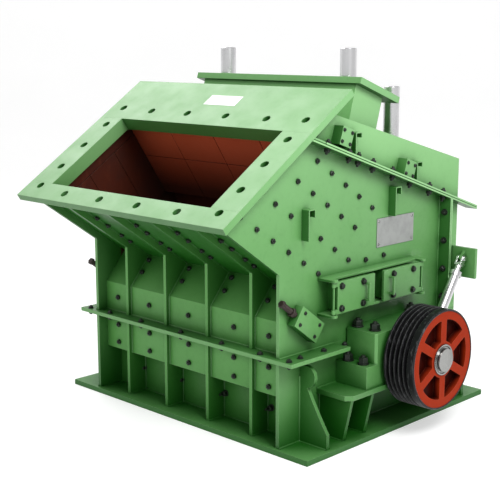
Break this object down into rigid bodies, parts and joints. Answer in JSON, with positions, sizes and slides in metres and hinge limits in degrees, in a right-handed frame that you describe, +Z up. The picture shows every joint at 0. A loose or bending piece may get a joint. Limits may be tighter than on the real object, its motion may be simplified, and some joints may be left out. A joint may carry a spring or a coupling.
{
  "type": "impact crusher",
  "caption": "Horizontal shaft impact crusher: ribbed steel housing with a sloped feed mouth, hinged rear cover, rotor and a grooved belt pulley.",
  "frame": {"origin": "underside of the base plate, in the mid plane between the side plates, below their front edges", "axes": "+X along the rotor shaft towards the belt pulley, +Y from the feed side to the rear, +Z up"},
  "size_m": [2.626, 2.571, 2.4829],
  "materials": {
    "green_paint": "semi-gloss machine enamel",
    "liner_steel": "rusty red-brown wear steel",
    "plate_metal": "satin",
    "chrome_rod": "polished",
    "dark_steel": "dark, dusty",
    "bright_steel": "machined",
    "black_rim": "black enamel",
    "red_wheel": "red enamel"
  },
  "bodies": {
    "housing": {"base_plate": "green_paint", "lower_sides": "green_paint", "lower_front_wall": "green_paint", "lower_rear_wall": "green_paint", "lower_ribs": "green_paint", "split_flange": "green_paint", "middle_sides": "green_paint", "middle_front_wall": "green_paint", "upper_ribs": "green_paint", "flange_bars": "green_paint", "cheeks": "green_paint", "feed_flange_bottom": "green_paint", "feed_flange_top": "green_paint", "feed_flange_sides": "green_paint", "chute_back_wall": "green_paint", "chute_liners": "liner_steel", "side_liners": "liner_steel", "bearing_seats": "green_paint", "seat_gussets": "green_paint", "bearing_housings": "green_paint", "corner_gussets": "green_paint", "door_frames": "green_paint", "side_hooks": "green_paint", "jack_blocks": "green_paint", "name_plate": "plate_metal", "base_hinges": "green_paint", "cylinder_feet": "green_paint"},
    "cover": {"cover_sides": "green_paint", "cover_bars": "green_paint", "cover_front_wall": "green_paint", "roof_plate": "green_paint", "rear_wall": "green_paint", "neck": "green_paint", "cap_plate": "green_paint", "front_rods": "chrome_rod", "rear_rods": "chrome_rod", "front_apron": "liner_steel", "rear_apron": "liner_steel", "apron_shafts": "dark_steel", "pivot_blocks": "green_paint", "cover_hooks": "green_paint", "cover_hinges": "green_paint", "cylinder_brackets": "green_paint"},
    "rotor": {"rotor_shaft": "bright_steel", "rotor_body": "dark_steel", "blow_bars": "liner_steel", "pulley_rim": "black_rim", "pulley_wheel": "red_wheel", "pulley_hub": "bright_steel"},
    "barrel_right": {"cylinder_barrel_right": "chrome_rod"},
    "rod_right": {"cylinder_rod_right": "chrome_rod"},
    "barrel_left": {"cylinder_barrel_left": "chrome_rod"},
    "rod_left": {"cylinder_rod_left": "chrome_rod"},
    "front_door_right": {"front_door_right": "green_paint"},
    "rear_door_right": {"rear_door_right": "green_paint"},
    "front_door_left": {"front_door_left": "green_paint"},
    "rear_door_left": {"rear_door_left": "green_paint"}
  },
  "joints": [
    {"name": "rotor_spin", "type": "hinge", "parent": "housing", "child": "rotor", "pos_m": [0, 1, 0.508], "axis": [1, 0, 0], "continuous": true},
    {"name": "cover_hinge", "type": "hinge", "parent": "housing", "child": "cover", "pos_m": [0, 1.95, 0.616], "axis": [-1, 0, 0], "range_deg": [0, 40]},
    {"name": "barrel_swing_right", "type": "hinge", "parent": "housing", "child": "barrel_right", "pos_m": [1.09, 1.43, 0.665], "axis": [-1, 0, 0], "range_deg": [0, 19.09]},
    {"name": "rod_slide_right", "type": "slide", "parent": "barrel_right", "child": "rod_right", "axis": [0, 0.5542, 0.8324], "range_m": [0, 0.2902]},
    {"name": "barrel_swing_left", "type": "hinge", "parent": "housing", "child": "barrel_left", "pos_m": [-1.09, 1.43, 0.665], "axis": [-1, 0, 0], "range_deg": [0, 19.09]},
    {"name": "rod_slide_left", "type": "slide", "parent": "barrel_left", "child": "rod_left", "axis": [0, 0.5542, 0.8324], "range_m": [0, 0.2902]},
    {"name": "front_door_hinge_right", "type": "hinge", "parent": "housing", "child": "front_door_right", "pos_m": [1.009, 0.38, 0.949], "axis": [0, 0, -1], "range_deg": [0, 100]},
    {"name": "rear_door_hinge_right", "type": "hinge", "parent": "housing", "child": "rear_door_right", "pos_m": [1.009, 1.311, 0.949], "axis": [0, 0, 1], "range_deg": [0, 100]},
    {"name": "front_door_hinge_left", "type": "hinge", "parent": "housing", "child": "front_door_left", "pos_m": [-1.009, 0.38, 0.949], "axis": [0, 0, 1], "range_deg": [0, 100]},
    {"name": "rear_door_hinge_left", "type": "hinge", "parent": "housing", "child": "rear_door_left", "pos_m": [-1.009, 1.311, 0.949], "axis": [0, 0, -1], "range_deg": [0, 100]}
  ],
  "couplings": [
    {"joint": "barrel_swing_right", "follows": "cover_hinge", "ratio": 0.4647},
    {"joint": "rod_slide_right", "follows": "cover_hinge", "m_per_rad": 0.4128},
    {"joint": "barrel_swing_left", "follows": "cover_hinge", "ratio": 0.4647},
    {"joint": "rod_slide_left", "follows": "cover_hinge", "m_per_rad": 0.4128}
  ]
}
